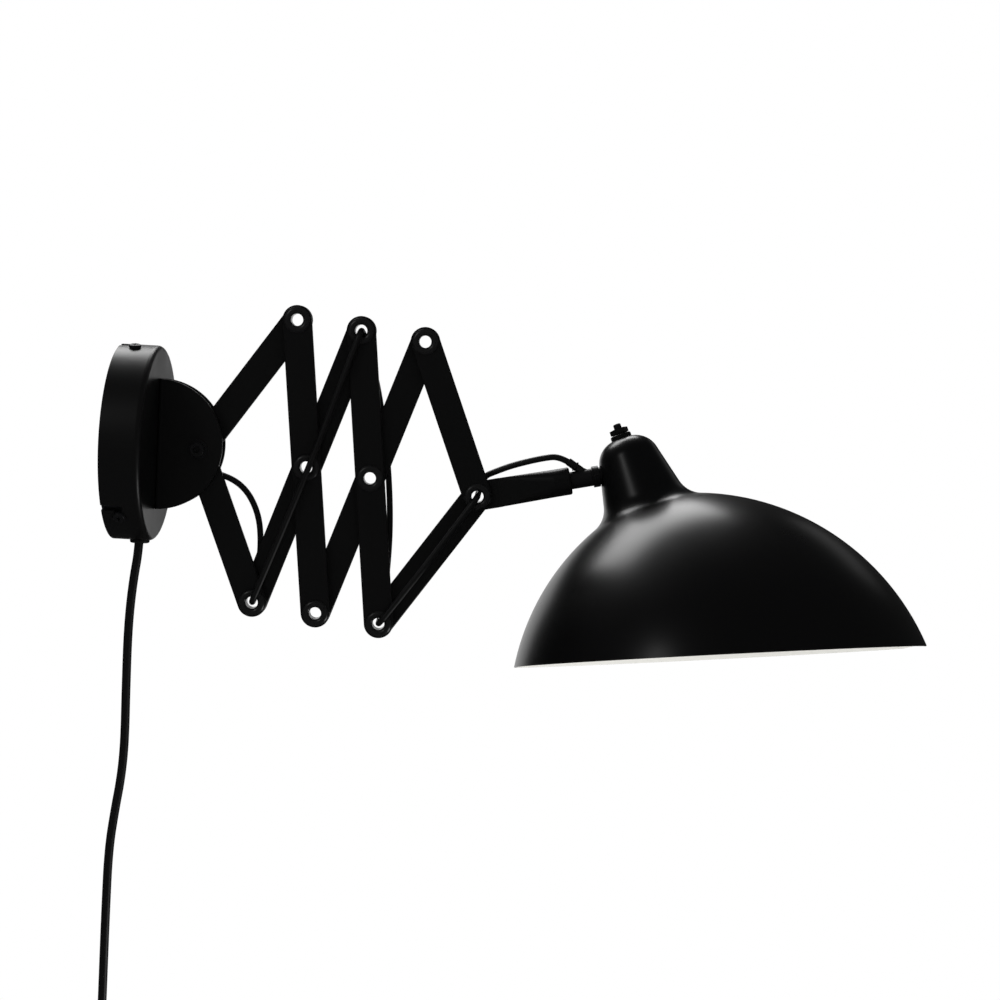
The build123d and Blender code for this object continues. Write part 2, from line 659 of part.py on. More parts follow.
def make_cable_grip():
    grip = upwards(-ROD_WALL, GRIP_LENGTH, GRIP_DIAMETER)
    flange_start = GRIP_FLANGE / 2 + GRIP_FLANGE_THICKNESS / 2
    grip += upwards(flange_start, flange_start + GRIP_FLANGE_THICKNESS, GRIP_FLANGE)
    grip -= upwards(-FAR_PAST, FAR_PAST, CABLE_DIAMETER + 2 * SEAT)
    grip = fillet(grip.edges().group_by(Axis.Z)[-1].sort_by(SortBy.LENGTH)[-1], 0.3)
    return grip_place(grip)


def make_collar():
    collar = outwards(0, COLLAR_LENGTH, COLLAR_DIAMETER, ROD_DIAMETER + 2 * RUNNING)
    collar -= Pos(COLLAR_LENGTH / 2, 0, 0) * across(-COLLAR_DIAMETER, 0, SET_SCREW_DIAMETER + 2 * RUNNING)
    return along_bar(Pos(COLLAR_START, 0, 0) * collar)


def make_collar_screw():
    tip = -ROD_DIAMETER / 2 - PLAY
    screw = across(tip - SET_SCREW_LENGTH, tip, SET_SCREW_DIAMETER)
    screw -= Pos(0, tip - SET_SCREW_LENGTH, 0) * Box(0.6, SET_SCREW_LENGTH, SET_SCREW_DIAMETER)
    return along_bar(Pos(COLLAR_START + COLLAR_LENGTH / 2, 0, 0) * screw)


def make_rod_nut():
    start = NECK_PLACE + BLOCK_FRONT + 2 * PLAY
    nut = hexagon(0, ROD_NUT_THICKNESS, ROD_NUT, ROD_DIAMETER + 2 * RUNNING)
    return along_bar(Pos(start, 0, 0) * Rot(0, 90, 0) * nut)


# Shade head. Its pieces are made round +Z, with the rod's axis through the origin and +X towards
# the lamp's front, and placed by head().


def head(piece):
    """Stands a head piece on the rod with the neck's lean, and rolls it round the rod."""
    leaning = Rot(0, -NECK_LEAN, 0) * piece
    rolled = Rot(SHADE_ROLL, 0, 0) * leaning
    return along_bar(Pos(NECK_PLACE, 0, 0) * rolled)


def along_rod(piece):
    """Lines a piece made along +X up with the rod, within the head."""
    return Rot(0, NECK_LEAN, 0) * piece


def shade_profile(inset):
    """Half the shade's outline, as (radius, height): top, corner, cone, fillet and dome."""
    taper = radians(NECK_TAPER)
    corner = NECK_CORNER - inset
    corner_centre = (NECK_RADIUS + NECK_CORNER * tan(taper) - NECK_CORNER / cos(taper), NECK_CORNER)
    hollow = NECK_FILLET + inset
    dome = DOME_RADIUS - inset
    # The fillet's centre is its radius from the cone, and both radii from the dome's centre.
    offset = NECK_RADIUS + NECK_FILLET / cos(taper) - DOME_CENTRE_OVER
    slope = tan(taper)
    a = 1 + slope**2
    b = offset * slope - DOME_CENTRE_DOWN
    c = offset**2 + DOME_CENTRE_DOWN**2 - (DOME_RADIUS + NECK_FILLET) ** 2
    fillet_down = (-b - sqrt(b**2 - a * c)) / a
    fillet_over = offset + DOME_CENTRE_OVER + fillet_down * slope
    to_fillet = (fillet_over - DOME_CENTRE_OVER, fillet_down - DOME_CENTRE_DOWN)
    share = dome / (DOME_RADIUS + NECK_FILLET)
    normal = (cos(taper), sin(taper))
    cone_top = (corner_centre[0] + corner * normal[0], corner_centre[1] - corner * normal[1])
    cone_end = (fillet_over - hollow * normal[0], fillet_down + hollow * normal[1])
    dome_top = (DOME_CENTRE_OVER + share * to_fillet[0], DOME_CENTRE_DOWN + share * to_fillet[1])
    equator = (DOME_CENTRE_OVER + dome, DOME_CENTRE_DOWN)
    up = NECK_TOP

    def height(point):
        return (point[0], up - point[1])

    def tangent(direction):
        return (direction[0], -direction[1])

    top_edge = height((corner_centre[0], inset))
    edges = [Line((0, up - inset), top_edge)]
    edges.append(TangentArc(top_edge, height(cone_top), tangent=(1, 0)))
    edges.append(Line(height(cone_top), height(cone_end)))
    edges.append(TangentArc(height(cone_end), height(dome_top), tangent=tangent((sin(taper), cos(taper)))))
    dome_way = (-to_fillet[1], -to_fillet[0])
    edges.append(TangentArc(height(dome_top), height(equator), tangent=dome_way))
    edges.append(Polyline(height(equator), (0, up - DOME_CENTRE_DOWN), (0, up - inset)))
    return revolve(Plane.XZ * make_face(Curve() + edges), Axis.Z)


def make_shade():
    shade = shade_profile(0) - shade_profile(SHADE_WALL)
    below = Box(*[4 * DOME_RADIUS] * 2, 2 * DOME_RADIUS, align=(Align.CENTER, Align.CENTER, Align.MAX))
    shade -= Pos(0, 0, NECK_TOP - RIM_DOWN) * Rot(0, RIM_TILT, 0) * below
    shade -= upwards(0, NECK_TOP + FAR_PAST, STUD_DIAMETER + 2 * SEAT)
    shade -= along_rod(outwards(-FAR_PAST, 0, ROD_DIAMETER + 2 * CLEAR))
    return head(shade)


def make_swivel_block():
    block = along_rod(outwards(-BLOCK_BACK, BLOCK_FRONT, BLOCK_DIAMETER))
    block += upwards(-BLOCK_BOSS_DOWN, 0, BLOCK_BOSS)
    block -= along_rod(outwards(-FAR_PAST, FAR_PAST, ROD_DIAMETER + 2 * RUNNING))
    block -= upwards(STUD_BOTTOM, FAR_PAST, STUD_DIAMETER + 2 * RUNNING)
    block -= upwards(-FAR_PAST, -NIPPLE_TOP + PLAY, NIPPLE_DIAMETER + 2 * RUNNING)
    return head(block)


def make_stud():
    stud = upwards(STUD_BOTTOM + PLAY, NECK_TOP + STUD_ABOVE_NECK, STUD_DIAMETER)
    return head(chamfer(stud.edges().sort_by(Axis.Z)[-1], 0.5))


def make_neck_nuts():
    """The nut under the neck's top, and the one above its washer."""
    bore = STUD_DIAMETER + 2 * RUNNING
    under = NECK_TOP - SHADE_WALL - PLAY
    above = NECK_TOP + STUD_WASHER_THICKNESS + STUD_NUT_GAP
    nuts = [hexagon(under - NECK_NUT_THICKNESS, under, NECK_NUT, bore)]
    nuts.append(hexagon(above, above + STUD_NUT_THICKNESS, STUD_NUT, bore))
    return Compound([head(nut) for nut in nuts])


def make_neck_washer():
    """A thick washer with a raised hub that the nut bears on."""
    hub = STUD_DIAMETER + 4
    washer = upwards(0, STUD_WASHER_THICKNESS, STUD_WASHER)
    washer = chamfer(washer.edges().sort_by(Axis.Z)[-1], 0.4)
    washer += upwards(STUD_WASHER_THICKNESS, STUD_WASHER_THICKNESS + STUD_NUT_GAP, hub)
    washer -= upwards(-FAR_PAST, FAR_PAST, STUD_DIAMETER + 2 * SEAT)
    return head(Pos(0, 0, NECK_TOP) * washer)


def make_holder_nipple():
    return head(upwards(-NIPPLE_BOTTOM, -NIPPLE_TOP, NIPPLE_DIAMETER, NIPPLE_BORE))


def make_lampholder():
    cap_end = HOLDER_TOP + HOLDER_CAP_HEIGHT
    skirt_start = cap_end + HOLDER_TAPER
    cap, skirt = HOLDER_CAP_DIAMETER / 2, HOLDER_DIAMETER / 2
    outline = Polyline((0, -HOLDER_TOP), (cap, -HOLDER_TOP), (cap, -cap_end), (skirt, -skirt_start),
                       (skirt, -HOLDER_BOTTOM), (0, -HOLDER_BOTTOM), (0, -HOLDER_TOP))
    holder = revolve(Plane.XZ * make_face(outline), Axis.Z)
    holder = fillet(holder.edges().sort_by(Axis.Z)[-1], 2)
    holder -= upwards(-HOLDER_BOTTOM, -HOLDER_BOTTOM + HOLDER_BORE_DEPTH, HOLDER_BORE)
    holder -= upwards(-NIPPLE_BOTTOM - PLAY, 0, NIPPLE_DIAMETER + 2 * RUNNING)
    return head(holder)


def make_holder_shell():
    outer = HOLDER_BORE - 2 * SEAT
    bottom = -HOLDER_BOTTOM + 1.5
    return head(upwards(bottom, bottom + SHELL_LENGTH, outer, outer - 2 * SHELL_WALL))


def make_holder_contact():
    bore_top = -HOLDER_BOTTOM + HOLDER_BORE_DEPTH
    contact = upwards(bore_top - CONTACT_THICKNESS, bore_top, CONTACT_DIAMETER)
    contact += upwards(bore_top - CONTACT_THICKNESS - CONTACT_BOSS, bore_top, 6)
    return head(contact)


# Wall cord


coil_centre = (CORD_SIDE + COIL_OUTER, COIL_CENTRE_UP)


def make_wall_cord():
    points = [(CORD_EXIT, 0, CLAMP_BOTTOM + CLAMP_LENGTH - 2), (CORD_EXIT, 0, -64)]
    points += [(11.2, 0, -87), (9.3, 0, -115), (9.4, 0, -152), (9.9, 0, -188)]
    points += [(8.8, -1.5, -210), (6.4, -5, -230), (COIL_OFF_WALL, -9.5, -254)]
    points += [(COIL_OFF_WALL, -11.6, -290), (COIL_OFF_WALL, CORD_SIDE, -342)]
    points += [(COIL_OFF_WALL, CORD_SIDE, COIL_CENTRE_UP + CORD_DIAMETER)]
    return tube("wall_cord", points, CORD_DIAMETER, 10 * CORD_DIAMETER)


def coil_radius(turn):
    return COIL_OUTER - COIL_PITCH * (COIL_TURNS_IN - abs(turn - COIL_TURNS_IN))


def coil_point(turn):
    """A place on the coil and its direction: in on the first layer, a climb of half a turn, and out."""
    angle = pi + 2 * pi * turn
    radius = coil_radius(turn)
    rate = COIL_PITCH * ((turn > COIL_TURNS_IN) - (turn < COIL_TURNS_IN))
    share = min(max((turn - COIL_TURNS_IN) * 2 + 0.5, 0), 1)
    x = COIL_OFF_WALL + COIL_PITCH * (1 - cos(pi * share)) / 2
    x_rate = COIL_PITCH * pi * sin(pi * share)
    place = Vector(x, coil_centre[0] + radius * cos(angle), coil_centre[1] + radius * sin(angle))
    away = Vector(0, cos(angle), sin(angle)) * rate + Vector(x_rate, 0, 0)
    return place, (away + Vector(0, -sin(angle), cos(angle)) * 2 * pi * radius).normalized()


def biarc(start, start_way, end, end_way):
    """Two arcs that meet tangentially between two places and directions."""
    span, ways = end - start, start_way + end_way
    bend = 2 * (1 - start_way.dot(end_way))
    reach = (-span.dot(ways) + sqrt(span.dot(ways) ** 2 + bend * span.dot(span))) / bend
    joint = (start + start_way * reach + end - end_way * reach) * 0.5
    way = (end - end_way * reach - start - start_way * reach).normalized()
    return [TangentArc(start, joint, tangent=start_way), TangentArc(joint, end, tangent=way)]


def make_cord_coil():
    turns = COIL_TURNS_IN + COIL_TURNS_OUT
    steps = round(turns * 4)
    stations = [coil_point(turns * step / steps) for step in range(steps + 1)]
    places = [place for place, way in stations]
    down = Vector(0, 0, -1)
    ways = [down] + [way for place, way in stations[1:-1]] + [down]
    edges = [Line(places[0] - down * CORD_DIAMETER, places[0])]
    for i in range(steps):
        edges += biarc(places[i], ways[i], places[i + 1], ways[i + 1])
    edges.append(Line(places[-1], places[-1] + down * COIL_TAIL))
    path = Wire(edges)
    section = Plane(origin=path @ 0, z_dir=down) * Circle(CORD_DIAMETER / 2)
    coil = sweep(section, path=path)
    count = 1600
    samples = [path.position_at(i / count) for i in range(count + 1)]
    apart = round(0.6 * count / turns)
    gaps = [(samples[i] - samples[j]).length for i in range(0, count, 2) for j in range(i + apart, count, 2)]
    share = coil.volume / (pi * CORD_DIAMETER**2 / 4 * path.length)
    gap = min(gaps) - CORD_DIAMETER
    print(f"cord_coil: {path.length:.0f} mm long, volume share {share:.4f}, least gap to itself {gap:.2f} mm")
    return coil, path @ 1, down


def make_coil_tie():
    """A flat strap round all the turns, at the coil's side away from the plug."""
    inner = coil_radius(COIL_TURNS_IN - 0.25) - CORD_DIAMETER / 2 - TIE_SIDE_ROOM
    outer = coil_radius(COIL_TURNS_IN + COIL_TURNS_OUT - 0.5) + CORD_DIAMETER / 2 + TIE_ROOM
    inside = Rectangle(COIL_PITCH + CORD_DIAMETER + 2 * TIE_ROOM, outer - inner)
    strap = offset(inside, TIE_THICKNESS) - inside
    strap = extrude(Plane.XY * strap, TIE_WIDTH / 2, both=True)
    x = COIL_OFF_WALL + COIL_PITCH / 2
    return Pos(x, coil_centre[0] + (inner + outer) / 2, coil_centre[1]) * strap


def make_plug(place, way):
    """A flat two-pin plug; the cord enters its tail."""
    body = Box(PLUG_LENGTH, PLUG_WIDTH, PLUG_THICKNESS, align=(Align.MIN, Align.CENTER, Align.CENTER))
    body = fillet(body.edges().filter_by(Axis.Z).group_by(Axis.X)[0], PLUG_NOSE / 2)
    body = chamfer(body.edges().group_by(Axis.Z)[-1] + body.edges().group_by(Axis.Z)[0], 1)
    for side in (-1, 1):
        pin = outwards(PLUG_LENGTH, PLUG_LENGTH + PLUG_PIN_LENGTH, PLUG_PIN)
        pin = Pos(0, side * PLUG_PIN_SPACING / 2, 0) * pin
        body += chamfer(pin.edges().sort_by(Axis.X)[-1], 0.8)
    return Plane(origin=place, x_dir=way, z_dir=(1, 0, 0)).location * body


def build():
    coil, coil_end, coil_way = make_cord_coil()
    nodes = {
        "canopy": make_canopy(),
        "mounting_plate": make_mounting_plate(),
        "rim_screws": make_rim_screws(),
        "cord_grommet": make_grommet(),
        "terminal_block": make_terminal_block(),
        "cord_clamp": make_cord_clamp(),
        "bracket": make_bracket(),
        "bracket_screws": make_bracket_screws(),
        "cable_bush": Compound([make_bush(), make_bush_nut()]),
        "pivot_screw": make_pivot_screw(),
        "pivot_washers": make_pivot_washers(),
        "pivot_nut": make_pivot_nut(),
        "pivot_sleeve": make_pivot_sleeve(),
        "pivot_rings": make_pivot_rings(),
        "link_wall_upper": end_link(pivot, 1, (sleeve_hole, rivet_hole)),
        "link_wall_lower": end_link(pivot, -1, (open_sleeve_hole, rivet_hole)),
        "link_inner_falling": full_link(top[1], -1),
        "link_inner_rising": full_link(low[1], 1),
        "link_outer_falling": full_link(top[2], -1),
        "link_outer_rising": full_link(low[2], 1),
        "link_lamp_upper": end_link(top[3], -1, (rivet_hole, rivet_hole)),
        "link_lamp_lower": end_link(low[3], 1, (rivet_hole, open_rivet_hole)),
        "rivet_end": make_rivet(end_pin, with_spacer=False),
        "cable_inlet": make_cable_inlet(),
        "cable_bow": make_cable_bow(),
        "cable_up": make_threaded("cable_up", low[1], top[2], -1, CABLE_UP_OFFSETS),
        "cable_down": make_threaded("cable_down", top[2], low[3], 1, CABLE_DOWN_OFFSETS),
        "cable_end": make_threaded("cable_end", low[3], end_pin, -1, CABLE_END_OFFSETS),
        "cable_over_bar": make_cable_over_bar(),
        "bar": make_bar(),
        "bar_cap": make_bar_cap(),
        "rod": make_rod(),
        "cable_grip": make_cable_grip(),
        "collar": make_collar(),
        "collar_screw": make_collar_screw(),
        "rod_nut": make_rod_nut(),
        "shade": make_shade(),
        "swivel_block": make_swivel_block(),
        "stud": make_stud(),
        "neck_nuts": make_neck_nuts(),
        "neck_washer": make_neck_washer(),
        "holder_nipple": make_holder_nipple(),
        "lampholder": make_lampholder(),
        "holder_contacts": Compound([make_holder_shell(), make_holder_contact()]),
        "wall_cord": make_wall_cord(),
        "cord_coil": coil,
        "coil_tie": make_coil_tie(),
        "plug": make_plug(coil_end, coil_way),
    }
    for row in (1, 2, 3):
        nodes[f"rivet_top_{row}"] = make_rivet(top[row])
        nodes[f"rivet_low_{row}"] = make_rivet(low[row])
    for row in (1, 2):
        nodes[f"rivet_middle_{row}"] = make_rivet(middle[row])
    return nodes


os.makedirs("parts", exist_ok=True)
for name, shape in build().items():
    export_step(shape, f"parts/{name}.step")
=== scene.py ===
import bpy
import bmesh
import json
from math import cos, pi, radians, sin
from mathutils import Matrix, Vector


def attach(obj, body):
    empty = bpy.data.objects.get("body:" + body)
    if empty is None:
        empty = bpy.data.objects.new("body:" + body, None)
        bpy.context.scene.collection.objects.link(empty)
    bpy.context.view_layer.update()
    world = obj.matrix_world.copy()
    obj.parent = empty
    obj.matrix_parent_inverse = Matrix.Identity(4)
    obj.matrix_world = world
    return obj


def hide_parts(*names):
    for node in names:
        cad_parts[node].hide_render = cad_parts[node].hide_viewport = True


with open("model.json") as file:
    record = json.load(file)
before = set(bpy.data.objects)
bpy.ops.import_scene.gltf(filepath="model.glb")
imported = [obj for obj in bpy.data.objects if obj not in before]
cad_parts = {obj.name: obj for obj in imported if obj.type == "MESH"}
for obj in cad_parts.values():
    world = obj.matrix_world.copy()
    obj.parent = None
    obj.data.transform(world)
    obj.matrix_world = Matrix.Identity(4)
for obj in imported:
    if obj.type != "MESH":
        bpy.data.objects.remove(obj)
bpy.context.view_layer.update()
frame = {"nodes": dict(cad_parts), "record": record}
nodes = frame["nodes"]
mm = 0.001
print("frame loaded:", len(nodes), "nodes")

# the pins with the rivets that the cable goes through, (x, z) in mm, as in the CAD; "end" is the bar's pin
pins = {
    "low1": (85.8134, -95.1131), "top2": (145.3084, 75.8294),
    "low3": (164.6364, -104.1357), "end": (221.7333, -21.795),
}
barSlope = 12.6  # degrees up, of the bar and the rod


def linear(hexText):
    channels = [int(hexText[i:i + 2], 16) / 255 for i in (1, 3, 5)]
    return [c / 12.92 if c < 0.04045 else ((c + 0.055) / 1.055) ** 2.4 for c in channels] + [1.0]


def addNode(tree, kind, links=None, **settings):
    # settings are sockets by name, or properties of the node itself
    made = tree.nodes.new(kind)
    for name, value in settings.items():
        if hasattr(made, name):
            setattr(made, name, value)
        else:
            made.inputs[name.replace("_", " ")].default_value = value
    for name, source in (links or {}).items():
        tree.links.new(source, made.inputs[name])
    return made


def newFinish(name, colour, **shader):
    made = bpy.data.materials.new(name)
    made.use_nodes = True
    made.diffuse_color = linear(colour)
    sockets = made.node_tree.nodes["Principled BSDF"].inputs
    sockets["Base Color"].default_value = linear(colour)
    for socket, value in shader.items():
        sockets[socket.replace("_", " ")].default_value = value
    return made


def addGrain(finish, grainMm, depthMm, roughFrom, roughTo, patchMm=45.0):
    # fine relief for the bump, and wider patches that shift the roughness a little
    tree = finish.node_tree
    sockets = tree.nodes["Principled BSDF"].inputs
    place = addNode(tree, "ShaderNodeTexCoord").outputs["Object"]
    fine = addNode(tree, "ShaderNodeTexNoise", {"Vector": place}, Scale=1 / (grainMm * mm), Detail=3.0)
    patch = addNode(tree, "ShaderNodeTexNoise", {"Vector": place}, Scale=1 / (patchMm * mm), Detail=2.0)
    # patch times fine, plus patch
    mixed = {0: patch.outputs["Fac"], 1: fine.outputs["Fac"], 2: patch.outputs["Fac"]}
    both = addNode(tree, "ShaderNodeMath", mixed, operation="MULTIPLY_ADD")
    rough = addNode(tree, "ShaderNodeMapRange", {"Value": both.outputs[0]}, From_Min=0.4, From_Max=1.1,
                    To_Min=roughFrom, To_Max=roughTo)
    tree.links.new(rough.outputs[0], sockets["Roughness"])
    bump = addNode(tree, "ShaderNodeBump", {"Height": fine.outputs["Fac"]}, Strength=1.0,
                   Distance=depthMm * mm)
    tree.links.new(bump.outputs[0], sockets["Normal"])


def makePowderCoat():
    # polyester powder coat on steel, stoved: an even satin with a very shallow orange peel
    made = newFinish("satinBlackPowderCoat", "#09090a", IOR=1.5)
    addGrain(made, grainMm=1.1, depthMm=0.006, roughFrom=0.33, roughTo=0.43)
    return made


def makeSpunCoat():
    # the same coat, sprayed on spun steel: smoother, so the softboxes draw out into long soft lights
    made = newFinish("satinBlackSpunShade", "#060607", IOR=1.5)
    addGrain(made, grainMm=1.4, depthMm=0.003, roughFrom=0.27, roughTo=0.31)
    return made


def makeWhiteEnamel():
    # stoved white enamel inside the shade, matt so that it spreads the bulb's light
    made = newFinish("mattWhiteEnamel", "#ecebe7", IOR=1.5)
    addGrain(made, grainMm=0.9, depthMm=0.006, roughFrom=0.5, roughTo=0.62)
    return made


def makeRivetCoat():
    # thin black lacquer over rolled steel, so the rolled rim is glossier than the links
    made = newFinish("blackLacqueredEyelet", "#101011", IOR=1.5, Coat_Weight=0.6, Coat_Roughness=0.22)
    addGrain(made, grainMm=0.7, depthMm=0.004, roughFrom=0.28, roughTo=0.38)
    return made


def makeZincSteel():
    # bright zinc plate on mild steel: a cool grey with cloudy spangle
    made = newFinish("zincPlatedSteel", "#b4b8bd", Metallic=1.0)
    addGrain(made, grainMm=0.5, depthMm=0.003, roughFrom=0.28, roughTo=0.45, patchMm=9)
    return made


def makeBlackOxide():
    # black oxide on turned steel: nearly black, with a dull metal shine
    made = newFinish("blackOxideSteel", "#1a1a1c", Metallic=0.6)
    addGrain(made, grainMm=0.4, depthMm=0.003, roughFrom=0.3, roughTo=0.42, patchMm=12)
    return made


def makeBrass():
    # drawn brass, a little dulled
    made = newFinish("drawnBrass", "#b8954f", Metallic=1.0)
    addGrain(made, grainMm=0.6, depthMm=0.003, roughFrom=0.24, roughTo=0.36, patchMm=10)
    return made


def makeNylon(name, colour):
    # moulded nylon: a waxy, slightly uneven matt skin
    made = newFinish(name, colour, IOR=1.53)
    addGrain(made, grainMm=0.5, depthMm=0.01, roughFrom=0.42, roughTo=0.55, patchMm=14)
    return made


def makePhenolic():
    # pressed phenolic resin: hard, dark and rather glossy
    made = newFinish("blackPhenolic", "#100e0d", IOR=1.6)
    addGrain(made, grainMm=0.8, depthMm=0.006, roughFrom=0.25, roughTo=0.36, patchMm=20)
    return made


def makeSheath():
    # extruded PVC over twisted cores: smooth, with a faint long ripple
    made = newFinish("blackPvcSheath", "#0b0b0c", IOR=1.53)
    addGrain(made, grainMm=2.6, depthMm=0.006, roughFrom=0.36, roughTo=0.46, patchMm=30)
    return made


finishes = {
    "black_paint": makePowderCoat(),
    "black_rivet": makeRivetCoat(),
    "zinc_steel": makeZincSteel(),
    "dark_steel": makeBlackOxide(),
    "nylon": makeNylon("blackNylonWasher", "#101011"),
    "black_plastic": makeNylon("blackMouldedNylon", "#0d0d0e"),
    "white_plastic": makeNylon("naturalPolyamide", "#d9d6cb"),
    "brass": makeBrass(),
    "cable_sheath": makeSheath(),
    "strap": makeNylon("blackRubberStrap", "#121212"),
}
extraFinishes = [makeSpunCoat(), makeWhiteEnamel(), makePhenolic()]
spunCoat, whiteEnamel, phenolic = extraFinishes
slots = {part["node"]: part["material_slot"] for part in frame["record"]["subparts"]}
for name, thing in nodes.items():
    thing.data.materials.clear()
    thing.data.materials.append(finishes[slots[name]])
nodes["lampholder"].data.materials[0] = phenolic
print("finishes made:", len(finishes) + len(extraFinishes))

# cables and cords: each is one smooth line that follows the CAD's route and rounds its corners

armCable = {
    "diameter": 3.8,
    "plane": 7.8,  # behind and in front of the links
    "rise": 77,  # degrees up, where it leaves the lamp-end rivet
    "underPivot": (48.8, 2.4, -16.0),
    "gripPlace": 65.3,  # along the bar's axis, where the grip goes into the rod at 45 degrees
    "rodRadius": 5.4,
    "bodies": {
        "cable_inlet": "wall_mount", "cable_bow": "wall_lower", "cable_up": "inner_rising",
        "cable_down": "outer_falling", "cable_end": "lamp_lower", "cable_over_bar": "bar",
    },
    "lengths": {
        "cable_inlet": 32, "cable_bow": 109, "cable_up": 193,
        "cable_down": 194, "cable_end": 112, "cable_over_bar": 101,
    },
    # sideways of a link, by share of the way from rivet to rivet
    "upOffsets": {0.07: 0.5, 0.3: 1.3, 0.5: 1.8, 0.72: 1.3, 0.93: 0.5},
    "downOffsets": {0.07: -3.4, 0.22: -8.2, 0.44: -11.1, 0.66: -10.5, 0.84: -6.4, 0.94: -2.6},
    "endOffsets": {0.12: 0.4, 0.5: 0.8, 0.87: 0.3},
}


def onSide(place, side):
    # the cable's plane: +1 behind the links, -1 in front of them
    return (place[0], side * armCable["plane"], place[1])


def inRivet(pin):
    return (pin[0], 0, pin[1])


def threaded(start, end, side, offsets):
    # from rivet to rivet beside a link
    run = Vector((end[0] - start[0], end[1] - start[1]))
    route = [inRivet(start), onSide(start, side)]
    for share, offset in offsets.items():
        x, z = start[0] + share * run[0], start[1] + share * run[1]
        route.append(onSide((x + offset * run[1] / run.length, z - offset * run[0] / run.length), side))
    return route + [onSide(end, side), inRivet(end)]


def onBar(along, up, y=0):
    # along the bar's axis from its pin, and square to it
    slope = radians(barSlope)
    x = pins["end"][0] + along * cos(slope) - up * sin(slope)
    return (x, y, pins["end"][1] + along * sin(slope) + up * cos(slope))


def onGripAxis(up):
    return onBar(armCable["gripPlace"] + armCable["rodRadius"] - up, up)


def armRoutes():
    low1, top2, low3, end = pins["low1"], pins["top2"], pins["low3"], pins["end"]
    under = armCable["underPivot"]
    rise = radians(armCable["rise"])
    risen = (end[0] + 12 * cos(rise), end[1] + 12 * sin(rise))
    return {
        "cable_inlet": [(16.9, 0, -19), (28.4, 0, -19), (40.8, 2.4, -16), under],
        "cable_bow": [
            under, (60.8, 2.4, -16), (76.5, 5.9, -23.6), onSide((85.8, -39.5), 1), onSide((88.6, -58), 1),
            onSide((87.2, -80), 1), onSide(low1, 1), inRivet(low1),
        ],
        "cable_up": threaded(low1, top2, -1, armCable["upOffsets"]),
        "cable_down": threaded(top2, low3, 1, armCable["downOffsets"]),
        "cable_end": threaded(low3, end, -1, armCable["endOffsets"]),
        "cable_over_bar": [
            inRivet(end), onSide(end, 1), onSide(risen, 1), onBar(14, 13, 5.6), onBar(25, 15.2, 3),
            onBar(43, 16.6, 0.8), onGripAxis(16), onGripAxis(0.8), onBar(82.8, -0.4),
        ],
    }


def smoothLine(name, route, diameter, finish):
    curve = bpy.data.curves.new(name, "CURVE")
    curve.dimensions = "3D"
    curve.bevel_depth = diameter / 2 * mm
    curve.bevel_resolution = 6
    curve.resolution_u = 10
    curve.use_fill_caps = True
    spline = curve.splines.new("NURBS")
    spline.points.add(len(route) - 1)
    for point, place in zip(spline.points, route):
        point.co = (*[c * mm for c in place], 1)
    spline.order_u = 3
    spline.use_endpoint_u = True
    curve.materials.append(finish)
    made = bpy.data.objects.new(name, curve)
    bpy.context.scene.collection.objects.link(made)
    return made


for name, route in armRoutes().items():
    cable = smoothLine("arm_" + name, route, armCable["diameter"], finishes["cable_sheath"])
    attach(cable, armCable["bodies"][name])
    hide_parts(name)

wallCord = {
    "diameter": 5.5, "length": 1.89,  # mm, but the length is in metres
    "route": [
        (14.5, 0, -40), (14.5, 0, -64), (11.2, 0, -87), (9.3, 0, -115), (9.4, 0, -152), (9.9, 0, -188),
        (8.8, -1.5, -210), (6.4, -5, -230), (4.4, -9.5, -254), (4.4, -11.6, -290), (4.4, -12, -342),
        (4.4, -12, -411.5),
    ],
    # two layers: turns go in beside the wall, and out again one pitch further from it
    "coilCentre": (28, -417), "coilOuter": 40, "pitch": 6.1, "turnsIn": 3.75, "turnsOut": 4.25,
    "pointsPerTurn": 12, "offWall": 4.4, "tail": 36,
}


def coilRoute(cord):
    # the points are a little outside the turns, since the smooth line cuts inside its points
    route = []
    turns = cord["turnsIn"] + cord["turnsOut"]
    steps = round(turns * cord["pointsPerTurn"])
    for step in range(steps + 1):
        turn = turns * step / steps
        angle = pi + 2 * pi * turn
        radius = cord["coilOuter"] - cord["pitch"] * (cord["turnsIn"] - abs(turn - cord["turnsIn"]))
        # the step from layer to layer takes half a turn
        share = min(max((turn - cord["turnsIn"]) * 2 + 0.5, 0), 1)
        reach = radius * (1 + (pi / cord["pointsPerTurn"]) ** 2 / 2)
        x = cord["offWall"] + cord["pitch"] * (1 - cos(pi * share)) / 2
        y = cord["coilCentre"][0] + reach * cos(angle)
        route.append((x, y, cord["coilCentre"][1] + reach * sin(angle)))
    last = route[-1]
    return route + [(last[0], last[1], last[2] - down) for down in (cord["tail"] / 2, cord["tail"])]


flex = smoothLine("mains_cord", wallCord["route"] + coilRoute(wallCord), wallCord["diameter"],
                  finishes["cable_sheath"])
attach(flex, "wall_mount")
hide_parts("wall_cord", "cord_coil")
print("cables and cord made")

# shade: spun in one piece, so one profile is turned about the neck's axis and cut at a slant

